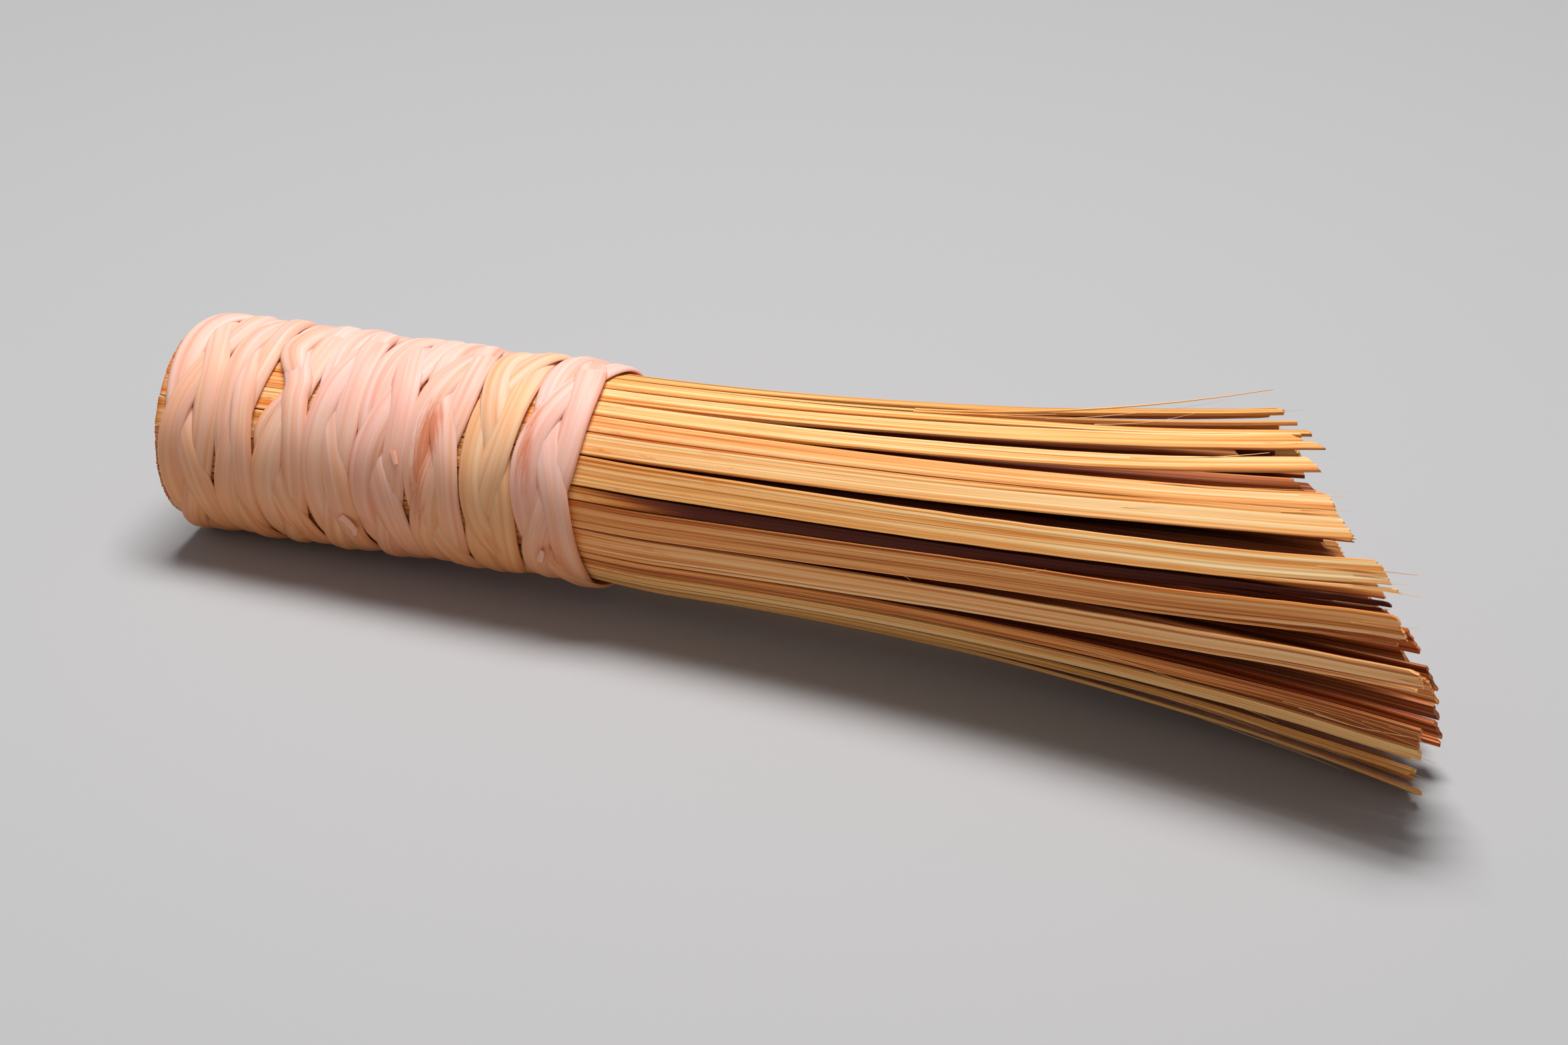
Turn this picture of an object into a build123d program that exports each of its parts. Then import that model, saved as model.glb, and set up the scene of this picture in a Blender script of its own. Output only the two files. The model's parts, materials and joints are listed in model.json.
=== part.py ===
"""Bamboo wok brush: a bundle of split bamboo splints lashed into a round grip by eight rattan bands.

The brush is modelled along its own axis first: x runs from the sawn butt to the tips, and a splint's
clock angle is measured from straight up, turning towards -Y. rest() then tips the finished solid into
the row frame, where the brush lies on its side, on its first band and on three splayed tips.
All sizes are in millimetres and degrees.
"""
from build123d import *
import os
from math import atan, cos, degrees, hypot, pi, radians, sin, tan

# Driving dimensions
GRIP_LENGTH = 89.0          # butt to the mouth of the binding
BUNDLE_RADIUS = 19.2        # outer face of the outer splints inside the binding
BUTT_OVERHANG = 2.2         # the splints stand this far out of the first band
SPLINT_THICKNESS = 1.6
LAYER_GAP = 0.15            # between one layer of splints and the next
SIDE_GAP = 0.2              # between neighbours in one layer, at their inner faces
FLARE_LENGTH = 248.0        # flare, drift and tip width are measured at this x
HINGE_GAP = 0.1             # between a bending length's rounded root and the length held in the grip

# Outer layer, in clock order from FIRST_ANGLE. For each splint: width at the mouth, width at
# FLARE_LENGTH, drift round the brush between the two in degrees, flare, and x of its sawn end.
FIRST_ANGLE = -0.5
FLARE = 14.4
NEAR_FOOT_FLARE = 16.7      # the splints that touch the table splay further
MIDDLE_FOOT_FLARE = 15.3
FAR_FOOT_FLARE = 19.0
OUTER_SPLINTS = (
    (3.9, 2.4, 5.5, FLARE, 225.0),
    (3.3, 3.8, 0.8, FLARE, 228.5),
    (3.1, 3.3, 0.0, FLARE, 231.0),
    (3.1, 2.6, 4.2, FLARE, 236.5),
    (4.1, 5.0, -0.4, FLARE, 240.0),
    (5.2, 4.3, -2.2, FLARE, 249.0),
    (2.2, 1.6, -5.0, FLARE, 250.0),
    (4.9, 4.6, -11.0, FLARE, 253.5),
    (4.9, 4.1, -13.4, FLARE, 257.5),
    (2.7, 4.0, -6.0, FLARE, 257.0),
    (3.3, 4.1, -6.5, FLARE, 256.0),
    (4.0, 4.6, -3.5, FLARE, 253.0),
    (5.8, 5.4, 0.0, NEAR_FOOT_FLARE, 251.0),
    (5.4, 5.2, -8.0, MIDDLE_FOOT_FLARE, 247.0),
    (5.9, 5.5, 0.0, FLARE, 243.0),
    (5.6, 5.6, -4.0, FAR_FOOT_FLARE, 240.0),
    (5.8, 5.3, 0.0, FLARE, 230.0),
    (5.4, 5.4, 0.0, FLARE, 224.5),
    (5.9, 5.2, 0.0, FLARE, 219.0),
    (5.4, 5.6, 0.0, FLARE, 216.0),
    (5.7, 5.3, 0.0, FLARE, 213.5),
    (5.5, 5.4, 0.0, FLARE, 214.0),
    (5.7, 5.1, 0.0, FLARE, 219.0),
)

# Inner layers, from the outside in: number of splints, and how far they flare
INNER_LAYERS = ((20, 11.2), (18, 9.0), (16, 7.0), (13, 5.0), (11, 3.2), (9, 1.7))
INNER_FLARE_SCATTER = 0.03
NARROWEST = 0.8             # of the full width, in an inner layer

# The tips are sawn off along one slanting plane.
OUTER_LONG_SIDE = 115.0     # clock angle of the longest splints
INNER_LONG_SIDE = 125.0
CORE_TIP_X = 233.0          # middle of the layers that cannot be seen between the outer splints
TIP_SWING = 27.0            # longer or shorter than the middle, at the outer layer
SLANT_GAIN = 1.3            # each splint's own end is cut a little steeper than the plane
TIP_SCATTER = 3.0

# x of each sawn end of the two inner layers that show between the outer splints, in clock order
INNER_TIPS = (
    (214, 228.5, 238.5, 246, 254, 257.5, 258, 252.5, 250, 251,
     245, 237, 231, 224, 218, 215, 213, 213, 213, 220),
    (221, 226.5, 235, 243, 249, 256, 256, 254, 250,
     246, 240, 233, 227, 221, 217, 215, 215, 217),
)

# Peg driven into the middle of the butt to tighten the bundle
WEDGE_LENGTH = 70.0
WEDGE_TIP_RADIUS = 3.4

# Binding: eight lashings of two strips each, laid on at opposite slants so that they cross once
BAND_WIDTHS = (11.0, 8.3, 11.2, 10.5, 11.0, 11.3, 11.5, 12.2)
CROSSINGS = (60.0, 115.0, 85.0, 140.0, 95.0, 75.0, 120.0, 100.0)     # clock angle of each crossing
BAND_GAP = 0.15
STRIP_THICKNESS = 0.75
STRIP_WIDTH = 6.2
STRIP_CLEARANCE = 0.05
STRIP_TURNS = 0.96

HALF = SPLINT_THICKNESS / 2
OUTER_RADIUS = BUNDLE_RADIUS - HALF                   # middle of the outer splints' thickness
HINGE_X = GRIP_LENGTH + HALF + 2 * HINGE_GAP
FLARE_RUN = FLARE_LENGTH - HINGE_X
CORNER_RADIUS = hypot(BUNDLE_RADIUS, max(row[0] for row in OUTER_SPLINTS) / 2)
UNDER_RADIUS = CORNER_RADIUS + STRIP_CLEARANCE        # inner faces of the two strips of a lashing
OVER_RADIUS = UNDER_RADIUS + STRIP_THICKNESS + STRIP_CLEARANCE
BAND_RADIUS = OVER_RADIUS + STRIP_THICKNESS


def scatter(number, salt):
    """A fixed scatter from -1 to 1, so that no two splints are quite alike."""
    return 2 * ((sin(12.9898 * number + 78.233 * salt) * 43758.5453) % 1) - 1


def layer_radius(layer):
    """Middle of the thickness in the grip. Layer 0 is the outer one; the corners of each clear the last."""
    radius = OUTER_RADIUS
    for count, _ in INNER_LAYERS[:layer]:
        radius = (radius - HALF - LAYER_GAP) * cos(pi / count) - HALF
    return radius


def bend_share(x):
    """Share of the flare and of the drift that a splint has reached at x: it leaves the mouth straight."""
    return ((x - HINGE_X) / FLARE_RUN) ** 2


def side_slope(angle, long_side):
    """How far a sawn end leans: length gained per unit of width towards larger clock angles."""
    return SLANT_GAIN * TIP_SWING / (OUTER_RADIUS + FLARE) * sin(radians(long_side - angle))


def outer_angles():
    """Clock angle of each outer splint in the grip, where they are packed side by side."""
    inner_face = OUTER_RADIUS - HALF
    half_angles = [degrees(atan(row[0] / 2 / inner_face)) for row in OUTER_SPLINTS]
    gap = (360 - 2 * sum(half_angles)) / len(half_angles)
    angles = [FIRST_ANGLE]
    for previous, current in zip(half_angles, half_angles[1:]):
        angles.append(angles[-1] + previous + gap + current)
    return angles


def inner_splints(layer):
    """(angle, width, flare, tip x) of each splint of an inner layer, staggered against the layer outside it."""
    count, flare = INNER_LAYERS[layer - 1]
    radius = layer_radius(layer)
    full_width = 2 * (radius - HALF) * tan(pi / count) - SIDE_GAP
    found = []
    for i in range(count):
        angle = 360 * (i + 0.5 * (layer % 2)) / count
        width = full_width * (NARROWEST + (1 - NARROWEST) * abs(scatter(i, 3 * layer)))
        own_flare = flare * (1 + INNER_FLARE_SCATTER * scatter(i, 3 * layer + 1))
        if layer <= len(INNER_TIPS):
            tip_x = INNER_TIPS[layer - 1][i]
        else:
            reach = (radius + own_flare) / (OUTER_RADIUS + FLARE)
            swing = TIP_SWING * reach * cos(radians(angle - INNER_LONG_SIDE))
            tip_x = CORE_TIP_X + swing + TIP_SCATTER * scatter(i, 3 * layer + 2)
        found.append((angle, width, own_flare, tip_x))
    return found


def sideways(drift, flare):
    """Sideways travel at FLARE_LENGTH that turns a splint of this flare by drift round the brush's axis."""
    return (OUTER_RADIUS + flare) * tan(radians(drift))


def rest_tilt():
    """How far the axis rises towards the tips when the brush lies on its first band and its splayed tips."""
    drops = []
    for angle, (_, tip_width, drift, flare, x) in zip(outer_angles(), OUTER_SPLINTS):
        share = bend_share(x)
        reach = OUTER_RADIUS + HALF + flare * share
        for corner in (-tip_width / 2, tip_width / 2):
            across = sideways(drift, flare) * share + corner
            height = cos(radians(angle)) * reach - sin(radians(angle)) * across
            drops.append((-height - BAND_RADIUS) / (x - BUTT_OVERHANG))
    return degrees(atan(max(drops)))


REST = Rot(0, -rest_tilt(), 0)


def rest(shape):
    return REST * shape


def turned(shape, angle):
    """A solid built pointing straight up, turned to its clock angle about the brush's axis."""
    return Rot(angle, 0, 0) * shape


def parabola(start_height, rise, end):
    """From the hinge line to x = end, level at the hinge and higher by rise at FLARE_LENGTH."""
    middle = (HINGE_X + end) / 2
    return Bezier((HINGE_X, start_height), (middle, start_height), (end, start_height + rise * bend_share(end)))


def side_outline(start, radius, flare, end):
    """Side view of a splint: straight in the grip, bent outside it, and rounded at the hinge if it starts there."""
    top = parabola(radius + HALF, flare, end)
    bottom = parabola(radius - HALF, flare, end)
    sides = [top, bottom, Line(top @ 1, bottom @ 1)]
    if start < HINGE_X:
        sides.append(Polyline(top @ 0, (start, radius + HALF), (start, radius - HALF), bottom @ 0))
    else:
        sides.append(CenterArc((HINGE_X, radius), HALF, 90, 180))
    return make_face(sides)


def plan_outline(width, tip_width, travel, x, slope):
    """Top view of a bending length, sawn off at a slant. Smaller clock angles are on the left, at larger y."""
    lean = slope * tip_width / 2
    widening = (tip_width - width) / 2
    left = parabola(width / 2, widening - travel, x - lean)
    right = parabola(-width / 2, -widening - travel, x + lean)
    root = HINGE_X - SPLINT_THICKNESS
    back = Polyline(left @ 0, (root, width / 2), (root, -width / 2), right @ 0)
    return make_face([left, right, back, Line(left @ 1, right @ 1)])


def bending_length(angle, width, tip_width, drift, flare, x):
    """The part of an outer splint that stands out of the binding and bends."""
    slope = side_slope(angle, OUTER_LONG_SIDE)
    side = extrude(Plane.XZ * side_outline(HINGE_X, OUTER_RADIUS, flare, x + width), 3 * BUNDLE_RADIUS, both=True)
    plan = extrude(plan_outline(width, tip_width, sideways(drift, flare), x, slope), 3 * BUNDLE_RADIUS)
    return turned((side & plan).solid(), angle)


def inner_splint(radius, angle, width, flare, x):
    """One whole splint of an inner layer, from the butt to its slanting end."""
    outline = side_outline(0, radius, flare, x + width)
    strip = extrude(Plane.XZ * outline, width / 2, both=True)
    saw = Plane((x, 0, radius), z_dir=(1, side_slope(angle, INNER_LONG_SIDE), 0))
    return turned(split(strip, saw, keep=Keep.BOTTOM), angle)


def held_root(angle, width):
    """The length of an outer splint that the binding holds still."""
    length = GRIP_LENGTH + HINGE_GAP
    block = Pos(length / 2, 0, OUTER_RADIUS) * Box(length, width, SPLINT_THICKNESS)
    return turned(block, angle)


def wedge():
    """Tapered peg, its head flush with the sawn butt."""
    head_radius = layer_radius(len(INNER_LAYERS)) - HALF - LAYER_GAP
    side = Polyline((0, 0), (0, head_radius), (WEDGE_LENGTH, WEDGE_TIP_RADIUS), (WEDGE_LENGTH, 0), close=True)
    return revolve(make_face(side), Axis.X)


def coil(first_x, last_x, inner_radius, start_angle, left_hand):
    """A flat strip wound not quite once round the grip from a clock angle, its middle climbing to last_x."""
    radius = inner_radius + STRIP_THICKNESS / 2
    run = last_x - first_x
    path = Helix(run / STRIP_TURNS, run, radius, direction=(0, 0, 1), lefthand=left_hand)
    section = Plane(path @ 0, x_dir=(1, 0, 0), z_dir=path % 0) * Rectangle(STRIP_THICKNESS, STRIP_WIDTH)
    strip = sweep(section, path=path, is_frenet=True)
    return Pos(first_x, 0, 0) * Rot(start_angle + 180, 0, 0) * Rot(0, 90, 0) * strip


def band_edges():
    """(low x, high x) of each lashing, from the butt to the mouth."""
    scale = (GRIP_LENGTH - BUTT_OVERHANG) / sum(BAND_WIDTHS)
    edges, x = [], BUTT_OVERHANG
    for width in BAND_WIDTHS:
        edges.append((x, x + width * scale))
        x += width * scale
    return edges


def band(low, high, crossing):
    """One lashing: a strip slanting one way, and a second slanting back across it."""
    first = low + BAND_GAP / 2 + STRIP_WIDTH / 2
    last = high - BAND_GAP / 2 - STRIP_WIDTH / 2
    half_turn = 180 * STRIP_TURNS
    under = coil(first, last, UNDER_RADIUS, crossing - half_turn, False)
    over = coil(first, last, OVER_RADIUS, crossing + half_turn, True)
    return [under, over]


def write(name, shapes):
    placed = [rest(shape) for shape in shapes]
    export_step(Compound(children=placed) if len(placed) > 1 else placed[0], f"parts/{name}.step")


def main():
    os.makedirs("parts", exist_ok=True)
    angles = outer_angles()
    for i, (angle, row) in enumerate(zip(angles, OUTER_SPLINTS)):
        write(f"outer_splint_{i + 1:02d}", [bending_length(angle, *row)])
    write("outer_splint_roots", [held_root(angle, row[0]) for angle, row in zip(angles, OUTER_SPLINTS)])
    for layer in range(1, len(INNER_LAYERS) + 1):
        shapes = [inner_splint(layer_radius(layer), *item) for item in inner_splints(layer)]
        if layer == 1:
            for i, shape in enumerate(shapes):
                write(f"second_splint_{i + 1:02d}", [shape])
        else:
            write(f"inner_splints_layer_{layer + 1}", shapes)
    write("core_wedge", [wedge()])
    for i, (low, high) in enumerate(band_edges()):
        write(f"binding_band_{i + 1}", band(low, high, CROSSINGS[i]))


if __name__ == "__main__":
    main()
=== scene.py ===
"""The looks of a bamboo wok brush: split bamboo splints lashed with plaited rattan peel."""
import json
import math

import bpy
import numpy as np
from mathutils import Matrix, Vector


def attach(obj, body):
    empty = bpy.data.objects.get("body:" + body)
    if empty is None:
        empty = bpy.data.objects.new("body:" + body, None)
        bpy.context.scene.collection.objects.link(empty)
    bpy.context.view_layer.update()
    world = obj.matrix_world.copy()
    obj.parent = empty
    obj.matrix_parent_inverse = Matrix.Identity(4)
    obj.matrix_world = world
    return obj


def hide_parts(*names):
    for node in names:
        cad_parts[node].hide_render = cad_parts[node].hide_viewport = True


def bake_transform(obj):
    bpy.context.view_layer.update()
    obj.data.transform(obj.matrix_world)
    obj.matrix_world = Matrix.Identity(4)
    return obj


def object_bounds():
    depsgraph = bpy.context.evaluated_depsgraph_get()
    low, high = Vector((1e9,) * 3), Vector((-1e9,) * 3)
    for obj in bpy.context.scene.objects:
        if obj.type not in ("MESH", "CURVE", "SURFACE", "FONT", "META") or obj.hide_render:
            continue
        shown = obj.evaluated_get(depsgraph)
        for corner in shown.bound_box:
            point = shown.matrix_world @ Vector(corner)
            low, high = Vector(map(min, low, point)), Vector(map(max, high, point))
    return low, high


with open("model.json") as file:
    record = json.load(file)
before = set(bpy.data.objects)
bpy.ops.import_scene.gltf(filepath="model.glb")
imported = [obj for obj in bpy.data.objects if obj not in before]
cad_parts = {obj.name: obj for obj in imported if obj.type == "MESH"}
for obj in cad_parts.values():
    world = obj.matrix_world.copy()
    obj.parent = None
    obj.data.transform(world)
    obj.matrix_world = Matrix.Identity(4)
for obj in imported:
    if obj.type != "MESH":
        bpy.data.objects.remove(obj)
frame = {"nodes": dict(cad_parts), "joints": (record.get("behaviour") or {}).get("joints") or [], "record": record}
cad_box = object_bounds()
record = frame["record"]
MM = 0.001

# ---------------------------------------------------------------- the brush's own axes in the row frame
# A point of the brush is (s, up, near) in mm: s along it from the butt to the tips, and near towards -Y.
# A clock angle turns from up towards near.
butt = record["mounts"][0]
ORIGIN = np.array(butt["pos_m"], float)
AXIS = -np.array(butt["axis"], float)
AXIS /= np.linalg.norm(AXIS)
UP = np.array((-AXIS[2], 0.0, AXIS[0]))
NEAR = np.array((0.0, -1.0, 0.0))


def to_brush(points_m):
    """Row-frame metres to (s, up, near) in mm."""
    p = (np.asarray(points_m, float) - ORIGIN) / MM
    return np.stack([p @ AXIS, p @ UP, p @ NEAR], -1)


def to_row(s, up, near):
    """(s, up, near) in mm, any shape, to row-frame metres."""
    return ORIGIN + MM * (s[..., None] * AXIS + up[..., None] * UP + near[..., None] * NEAR)


def outward(points, clock):
    """How far points of the brush lie from its axis, measured towards a clock angle."""
    return points[:, 1] * math.cos(clock) + points[:, 2] * math.sin(clock)


# ---------------------------------------------------------------- reading the frame
FLARE_S = 248.0               # mm along the brush where flare, sideways travel and tip width are measured
CORNER_PULL = 0.4             # a sawn corner is the vertex furthest to its side, with this share of s added
TIP_LENGTH = 12.0             # the flare is taken from this last stretch, mm
BUTT_LENGTH = 1.0             # and an inner splint's place from this first stretch, mm


def islands(node):
    """The vertices of each solid of a CAD node, in brush coordinates."""
    mesh = frame["nodes"][node].data
    corners = np.array([v.co for v in mesh.vertices])
    places, index = np.unique(np.round(corners, 6), axis=0, return_inverse=True)
    index = index.ravel()
    parent = list(range(len(places)))

    def root(i):
        while parent[i] != i:
            parent[i] = parent[parent[i]]
            i = parent[i]
        return i

    for poly in mesh.polygons:
        first = root(index[poly.vertices[0]])
        for v in poly.vertices[1:]:
            parent[root(index[v])] = first
    groups = {}
    for i in range(len(places)):
        groups.setdefault(root(i), []).append(i)
    found = [to_brush(places[g]) for g in groups.values()]
    found.sort(key=lambda p: math.atan2(p[:, 2].mean(), p[:, 1].mean()) % (2 * math.pi))
    return found


def measure(points, clock, radius, hinge):
    """Width, flare, sideways travel and sawn corners of one splint, from its solid's vertices."""
    s = points[:, 0]
    out = outward(points, clock)
    lat = -points[:, 1] * math.sin(clock) + points[:, 2] * math.cos(clock)
    width = 2 * np.abs(lat[s < hinge + 0.5]).max()
    left = np.argmax(CORNER_PULL * s - lat)
    right = np.argmax(CORNER_PULL * s + lat)

    def share(x):
        return ((x - hinge) / (FLARE_S - hinge)) ** 2

    left_rise = (lat[left] + width / 2) / share(s[left])
    right_rise = (lat[right] - width / 2) / share(s[right])
    end = s > s.max() - TIP_LENGTH
    flare = np.mean((out[end] - radius) / share(s[end]))
    return {"clock": clock, "radius": radius, "hinge": hinge, "width": width, "flare": flare,
            "travel": (left_rise + right_rise) / 2, "widen": right_rise - left_rise,
            "s_left": s[left], "s_right": s[right], "bow": 0.0}


def numbered(prefix):
    """The CAD nodes that are named by this prefix and a number, in order."""
    return sorted(n for n in frame["nodes"] if n.startswith(prefix) and n[len(prefix):].isdigit())


joint_of = {j["child"]: j for j in frame["joints"]}
outer_nodes = numbered("outer_splint_")
second_nodes = numbered("second_splint_")
layer_nodes = numbered("inner_splints_layer_")
band_nodes = numbered("binding_band_")

outer = []
for node in outer_nodes:
    hinge, up, near = to_brush(np.array([joint_of["splint_" + node[-2:]]["pos_m"]]))[0]
    solid = np.concatenate(islands(node))
    outer.append(measure(solid, math.atan2(near, up), math.hypot(up, near), hinge))


def measure_inner(points):
    """The same for a splint of an inner layer, whose clock angle and radius are read at its butt."""
    low = points[points[:, 0] < BUTT_LENGTH]
    centre = low[:, 1:].mean(0)
    clock = math.atan2(centre[1], centre[0])
    out = outward(low, clock)
    return measure(points, clock, (out.min() + out.max()) / 2, outer[-1]["hinge"])


# ---------------------------------------------------------------- curves and meshes
def smooth_noise(rng, shortest, longest, terms=6):
    """A smooth random curve of one variable, about -1 to 1, with wavelengths in the given range."""
    waves = np.exp(rng.uniform(math.log(shortest), math.log(longest), terms))
    phases = rng.uniform(0, 2 * math.pi, terms)
    sizes = rng.uniform(0.5, 1.0, terms) / terms ** 0.5

    def curve(x):
        x = np.asarray(x, float)
        total = np.zeros_like(x)
        for wave, phase, size in zip(waves, phases, sizes):
            total = total + size * np.cos(2 * math.pi * x / wave + phase)
        return total
    return curve


def smooth_loop(rng, turns, lowest, highest):
    """A smooth random closed curve over the whole length of a strip, about -1 to 1."""
    waves = rng.integers(lowest, highest, 5)
    phases = rng.uniform(0, 2 * math.pi, 5)

    def curve(phi):
        return sum(np.cos(w * phi / turns + p) for w, p in zip(waves, phases)) / 5 ** 0.5 * 0.9
    return curve


class Builder:
    """Collects vertices, faces and the values the materials read, then makes one mesh object."""

    def __init__(self):
        self.points, self.faces, self.grain, self.look = [], [], [], []
        self.count = 0

    def add(self, points, faces, grain, look):
        points = points.reshape(-1, 3)
        self.points.append(points)
        self.faces.append(np.asarray(faces) + self.count)
        self.grain.append(np.asarray(grain, float).reshape(-1, 3))
        self.look.append(np.broadcast_to(np.asarray(look, float).reshape(-1, 3), (len(points), 3)).copy())
        self.count += len(points)

    def make(self, name, material, sharp=35):
        mesh = bpy.data.meshes.new(name)
        faces = [tuple(int(i) for i in f) for block in self.faces for f in block]
        mesh.from_pydata(np.concatenate(self.points).tolist(), [], faces)
        mesh.update()
        for label, values in (("grain", self.grain), ("look", self.look)):
            layer = mesh.attributes.new(label, "FLOAT_VECTOR", "POINT")
            layer.data.foreach_set("vector", np.concatenate(values).astype(np.float32).ravel())
        mesh.polygons.foreach_set("use_smooth", [True] * len(mesh.polygons))
        mesh.set_sharp_from_angle(angle=math.radians(sharp))
        mesh.materials.append(material)
        obj = bpy.data.objects.new(name, mesh)
        bpy.context.scene.collection.objects.link(obj)
        return obj


def slab_faces(rows, columns):
    """Faces of a closed slab: a top grid and a bottom grid of rows x columns, joined round the rim."""
    top = np.arange(rows * columns).reshape(rows, columns)
    bottom = top + rows * columns
    a, b, c, d = top[:-1, :-1], top[:-1, 1:], top[1:, 1:], top[1:, :-1]
    faces = [np.stack([a, b, c, d], -1).reshape(-1, 4)]
    a, b, c, d = bottom[:-1, :-1], bottom[1:, :-1], bottom[1:, 1:], bottom[:-1, 1:]
    faces.append(np.stack([a, b, c, d], -1).reshape(-1, 4))
    faces.append(np.stack([top[:-1, 0], top[1:, 0], bottom[1:, 0], bottom[:-1, 0]], -1))
    faces.append(np.stack([top[1:, -1], top[:-1, -1], bottom[:-1, -1], bottom[1:, -1]], -1))
    faces.append(np.stack([top[0, 1:], top[0, :-1], bottom[0, :-1], bottom[0, 1:]], -1))
    faces.append(np.stack([top[-1, :-1], top[-1, 1:], bottom[-1, 1:], bottom[-1, :-1]], -1))
    return np.concatenate(faces)


# ---------------------------------------------------------------- splints
HALF = 0.8                    # half a splint's thickness, mm
BUNDLE_RADIUS = 19.2          # outer face of the outer splints in the grip, mm
# The lowest splints sag about the mouth of the binding: from SAG_START in over SAG_ONSET, and out again until
# SAG_END with the power SAG_FADE. SAG is the size of it in mm before the fading.
SAG, SAG_START, SAG_ONSET, SAG_END, SAG_FADE = 2.9, 76.0, 30.0, 215.0, 1.4
BOW_LATE = 1.3                # above 1, a sideways bow is widest beyond the middle
# A splint's outer face reaches past its inner one on each side, in mm: so far in the grip, and so far at the
# tips, changing from SPREAD_S over SPREAD_RUN
GRIP_SPREAD, TIP_SPREAD, SPREAD_S, SPREAD_RUN = 0.2, 0.07, 85.0, 12.0
SHADE_S, SHADE_RUN = 88.0, 25.0       # where a splint with painted shade turns darker, mm
END_ROWS = 5                  # rows of a strip that fan out to its ragged end
END_RUN = 1.5                 # and how far before the shortest fibre they start, mm
OUTER_ROWS = 76
COLUMN = 0.14                 # width of a column of an outer splint, mm
OUTER_RELIEF, INNER_RELIEF = 0.035, 0.03   # height of the lengthwise ridges, mm
OUTER_THINNED, INNER_THINNED = 0.45, 0.35  # share of the thickness that is gone towards the tips
TURN_GRAIN = 7.0              # the inner face's grain is another one,
TURN_TONE = 0.25              # and it is this much darker


def sag(s):
    """How far the lowest splints sag, in mm; the top ones stay where they are."""
    leaving = np.clip((s - SAG_START) / SAG_ONSET, 0, 1)
    fading = np.clip((SAG_END - s) / (SAG_END - SAG_START), 0, 1)
    return SAG * leaving ** 2 * (3 - 2 * leaving) * fading ** SAG_FADE


def sagging(s, up, near):
    """Row-frame points of the bundle, the lower side pushed down by the sag."""
    return to_row(s, up - sag(s) * (BUNDLE_RADIUS - up) / (2 * BUNDLE_RADIUS), near)


def place(spec, s, lat, out):
    """Row-frame points of a splint: s along the brush, lat to the side and out from the axis, in mm."""
    clock = spec["clock"]
    up = out * math.cos(clock) - lat * math.sin(clock)
    near = out * math.sin(clock) + lat * math.cos(clock)
    return sagging(s, up, near)


def centre_line(spec, s):
    """A splint's sideways travel, distance from the axis and half width along the brush."""
    reach = np.clip(s - spec["hinge"], 0, None) / (FLARE_S - spec["hinge"])
    share = reach ** 2
    bow = spec["bow"] * np.sin(math.pi * np.clip(reach, 0, 1) ** BOW_LATE)
    half_width = spec["width"] / 2 + spec["widen"] / 2 * share
    return spec["travel"] * share + bow, spec["radius"] + spec["flare"] * share, half_width


def ragged_end(rng, columns, depth):
    """How far short of the sawn line each fibre stops: mostly little, here and there more."""
    short = np.zeros(columns)
    i = 0
    while i < columns:
        run = int(rng.integers(1, 4))
        short[i:i + run] = depth * rng.random() ** 2
        i += run
    return short + 0.1 * depth * rng.random(columns)


def splint_curves(rng):
    """The bends and ridges that all strips of one splint share."""
    return {"edge": smooth_noise(rng, 7, 60), "wander": smooth_noise(rng, 60, 200, 3),
            "swell": smooth_noise(rng, 30, 140, 4), "ridges": smooth_noise(rng, 0.5, 1.6, 7),
            "grain": rng.uniform(0, 100)}


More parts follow.
